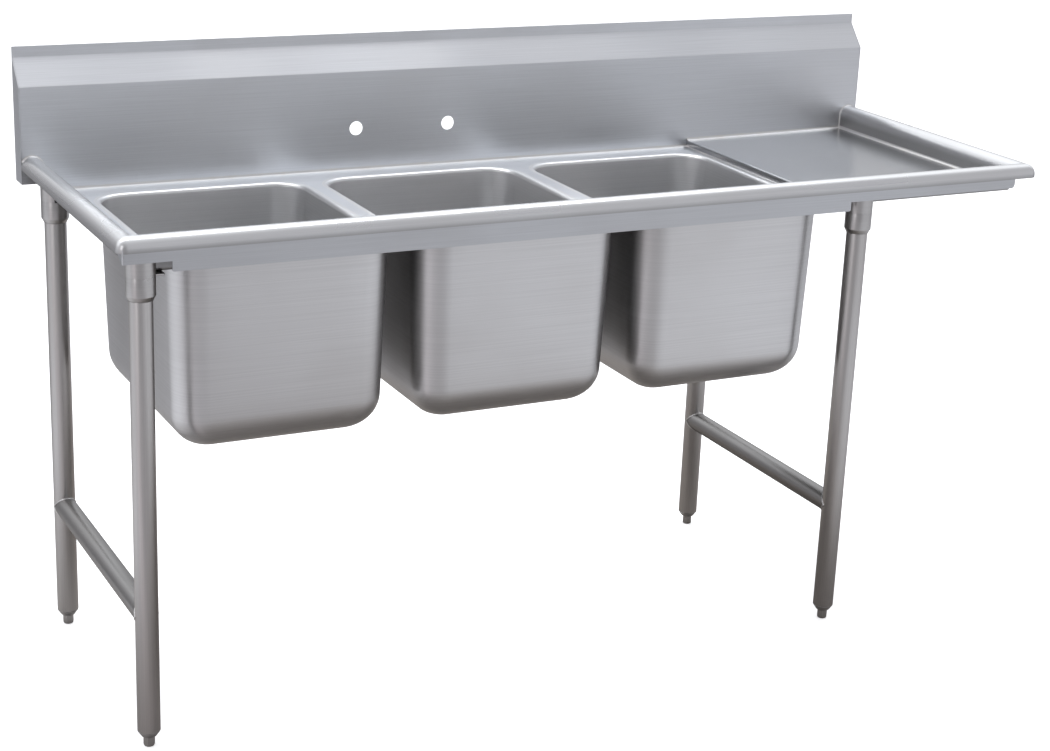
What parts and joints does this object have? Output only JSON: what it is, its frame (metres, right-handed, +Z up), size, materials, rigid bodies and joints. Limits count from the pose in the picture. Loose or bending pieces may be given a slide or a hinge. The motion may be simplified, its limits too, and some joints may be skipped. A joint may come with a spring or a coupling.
{
  "type": "three compartment sink",
  "caption": "Free-standing stainless steel sink with deep-drawn bowls, a right-hand drainboard, a splash with faucet holes, rolled rims and round legs.",
  "frame": {"origin": "centre of the bounding box's base, on the floor", "axes": "+X from the bowls to the drainboard, -Y towards the user, +Z up"},
  "size_m": [1.9044, 0.6856, 1.143],
  "materials": {
    "sheet": "satin brushed stainless sheet",
    "tube": "satin stainless tube, slightly darker",
    "hardware": "machined stainless",
    "drain": "polished stainless",
    "gasket": "matt black rubber"
  },
  "bodies": {
    "sink": {"deck_panel": "sheet", "left_bowl": "sheet", "middle_bowl": "sheet", "right_bowl": "sheet", "drainboard": "sheet", "front_rim": "sheet", "left_rim": "sheet", "right_rim": "sheet", "backsplash": "sheet", "left_splash_end": "sheet", "right_splash_end": "sheet", "front_apron": "sheet", "drainboard_channel": "sheet", "front_left_gusset": "tube", "front_left_leg": "tube", "rear_left_gusset": "tube", "rear_left_leg": "tube", "front_right_gusset": "tube", "front_right_leg": "tube", "rear_right_gusset": "tube", "rear_right_leg": "tube", "left_cross_rail": "tube", "right_cross_rail": "tube", "front_left_set_screw": "hardware", "front_left_leg_insert": "hardware", "rear_left_set_screw": "hardware", "rear_left_leg_insert": "hardware", "front_right_set_screw": "hardware", "front_right_leg_insert": "hardware", "rear_right_set_screw": "hardware", "rear_right_leg_insert": "hardware", "left_drain_body": "drain", "left_drain_locknut": "drain", "middle_drain_body": "drain", "middle_drain_locknut": "drain", "right_drain_body": "drain", "right_drain_locknut": "drain", "left_drain_gasket": "gasket", "middle_drain_gasket": "gasket", "right_drain_gasket": "gasket"},
    "front_left_foot_body": {"front_left_foot": "hardware"},
    "rear_left_foot_body": {"rear_left_foot": "hardware"},
    "front_right_foot_body": {"front_right_foot": "hardware"},
    "rear_right_foot_body": {"rear_right_foot": "hardware"},
    "left_drain_basket_body": {"left_drain_basket": "drain"},
    "middle_drain_basket_body": {"middle_drain_basket": "drain"},
    "right_drain_basket_body": {"right_drain_basket": "drain"}
  },
  "joints": [
    {"name": "front_left_foot_adjust", "type": "slide", "parent": "sink", "child": "front_left_foot_body", "axis": [0, 0, -1], "range_m": [0, 0.0254]},
    {"name": "rear_left_foot_adjust", "type": "slide", "parent": "sink", "child": "rear_left_foot_body", "axis": [0, 0, -1], "range_m": [0, 0.0254]},
    {"name": "front_right_foot_adjust", "type": "slide", "parent": "sink", "child": "front_right_foot_body", "axis": [0, 0, -1], "range_m": [0, 0.0254]},
    {"name": "rear_right_foot_adjust", "type": "slide", "parent": "sink", "child": "rear_right_foot_body", "axis": [0, 0, -1], "range_m": [0, 0.0254]},
    {"name": "left_basket_lift", "type": "slide", "parent": "sink", "child": "left_drain_basket_body", "axis": [0, 0, 1], "range_m": [0, 0.47]},
    {"name": "middle_basket_lift", "type": "slide", "parent": "sink", "child": "middle_drain_basket_body", "axis": [0, 0, 1], "range_m": [0, 0.47]},
    {"name": "right_basket_lift", "type": "slide", "parent": "sink", "child": "right_drain_basket_body", "axis": [0, 0, 1], "range_m": [0, 0.47]}
  ]
}
